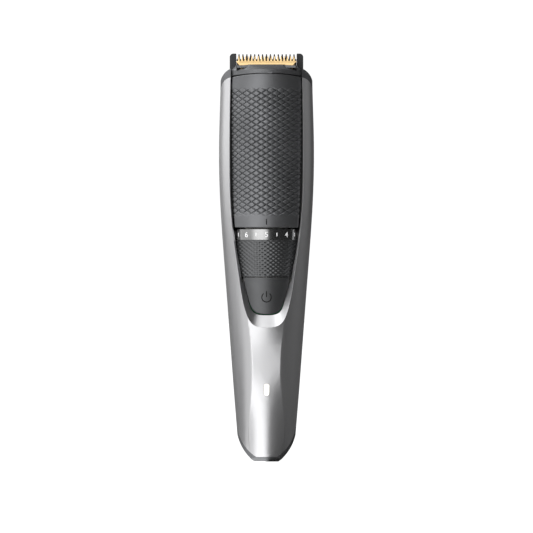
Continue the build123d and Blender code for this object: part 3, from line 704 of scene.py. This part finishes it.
def make_cutter():
    """The moving cutter: a plate with angled ends, a smooth lower band and a row of teeth."""
    foot = blade_foot()
    plate = in_millimetres([(-10.8, -2.7), (10.8, -2.7), (11.4, -0.9), (12.5, 0.8), (12.5, 1.35),
                            (-12.5, 1.35), (-12.5, 0.8), (-11.4, -0.9)])
    band = in_millimetres([(-10.8, -2.5), (10.8, -2.5), (11.3, -0.9), (12.1, 0.5), (-12.1, 0.5),
                           (-11.3, -0.9)])
    work = bmesh.new()
    blade_prism(work, plate, CUTTER_BACK, PLATE_FRONT, foot)
    blade_prism(work, band, BAND_BACK, CUTTER_FRONT, foot)
    blade_prism(work, teeth_outline(), CUTTER_BACK, CUTTER_FRONT, foot)
    bmesh.ops.recalc_face_normals(work, faces=work.faces)
    piece = new_piece("cutter_skin", finished_mesh("cutter_skin", work), "cutter", "gold_coating")
    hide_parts("moving_cutter")


# ---------------------------------------------------------------- stage and light
def shader_math(tree, kind, first, second):
    """A math node whose inputs are sockets or plain numbers."""
    node = tree.nodes.new("ShaderNodeMath")
    node.operation = kind
    for place, value in enumerate((first, second)):
        if isinstance(value, (int, float)):
            node.inputs[place].default_value = value
        else:
            tree.links.new(value, node.inputs[place])
    return node.outputs["Value"]


def soft_light(tree, direction, azimuth, height, full, end, flat, strength):
    """How bright one soft light is in a direction: full near its middle, nothing past its end."""
    turn = math.radians(azimuth)
    rise = math.radians(height)
    middle = Vector((math.sin(turn) * math.cos(rise), -math.cos(turn) * math.cos(rise),
                     flat * math.sin(rise))).normalized()
    squash = tree.nodes.new("ShaderNodeVectorMath")
    squash.operation = "MULTIPLY"
    squash.inputs[1].default_value = (1, 1, flat)
    tree.links.new(direction, squash.inputs[0])
    unit = tree.nodes.new("ShaderNodeVectorMath")
    unit.operation = "NORMALIZE"
    tree.links.new(squash.outputs["Vector"], unit.inputs[0])
    facing = tree.nodes.new("ShaderNodeVectorMath")
    facing.operation = "DOT_PRODUCT"
    facing.inputs[1].default_value = middle
    tree.links.new(unit.outputs["Vector"], facing.inputs[0])
    fall = tree.nodes.new("ShaderNodeMapRange")
    fall.interpolation_type = "SMOOTHERSTEP"
    fall.inputs["From Min"].default_value = math.cos(math.radians(end))
    fall.inputs["From Max"].default_value = math.cos(math.radians(full))
    fall.inputs["To Max"].default_value = strength
    tree.links.new(facing.outputs["Value"], fall.inputs["Value"])
    return fall.outputs["Result"]


def room_brightness(tree, direction, lights):
    """The room's light in a direction, and at least plain white where the camera looks."""
    total = ROOM_LIGHT
    for light in lights:
        total = shader_math(tree, "ADD", soft_light(tree, direction, *light), total)
    seen = tree.nodes.new("ShaderNodeLightPath").outputs["Is Camera Ray"]
    return shader_math(tree, "MAXIMUM", shader_math(tree, "MULTIPLY", seen, WHITE_SHOWN), total)


def make_floor():
    """A floor that the camera sees as white, and that glows where the low lights go on downwards."""
    far = FLOOR_SIZE
    corners = [(-far, -far, 0), (far, -far, 0), (far, far, 0), (-far, far, 0)]
    mesh = bpy.data.meshes.new("floor")
    mesh.from_pydata(corners, [], [(0, 1, 2, 3)])
    floor = bpy.data.objects.new("floor", mesh)
    bpy.context.scene.collection.objects.link(floor)
    pale = new_material("pale_floor", (0.1, 0.1, 0.1), 0, 0.8)
    tree = pale.node_tree
    shader = tree.nodes["Principled BSDF"]
    shader.inputs["Specular IOR Level"].default_value = 0.0
    shader.inputs["Emission Color"].default_value = (1, 1, 1, 1)
    vary_color(pale, object_noise(pale, 6, 2), (0.09, 0.09, 0.09), (0.11, 0.11, 0.11))
    place = tree.nodes.new("ShaderNodeTexCoord")
    shown = room_brightness(tree, place.outputs["Object"], LOW_LIGHTS)
    tree.links.new(shown, shader.inputs["Emission Strength"])
    mesh.materials.append(pale)


def make_room():
    """White behind the trimmer, and the soft lights in everything that it reflects."""
    world = bpy.data.worlds.new("room")
    bpy.context.scene.world = world
    world.use_nodes = True
    tree = world.node_tree
    lit = tree.nodes["Background"]
    lit.inputs["Color"].default_value = (1, 1, 1, 1)
    place = tree.nodes.new("ShaderNodeTexCoord")
    shown = room_brightness(tree, place.outputs["Generated"], SOFT_LIGHTS)
    tree.links.new(shown, lit.inputs["Strength"])


make_camera()
dress_cad_nodes()
make_panel()
make_grip()
make_digits()
make_symbol()
make_index_mark()
make_cutter()
make_lip()
make_floor()
make_room()
bpy.context.scene.view_settings.view_transform = "Standard"
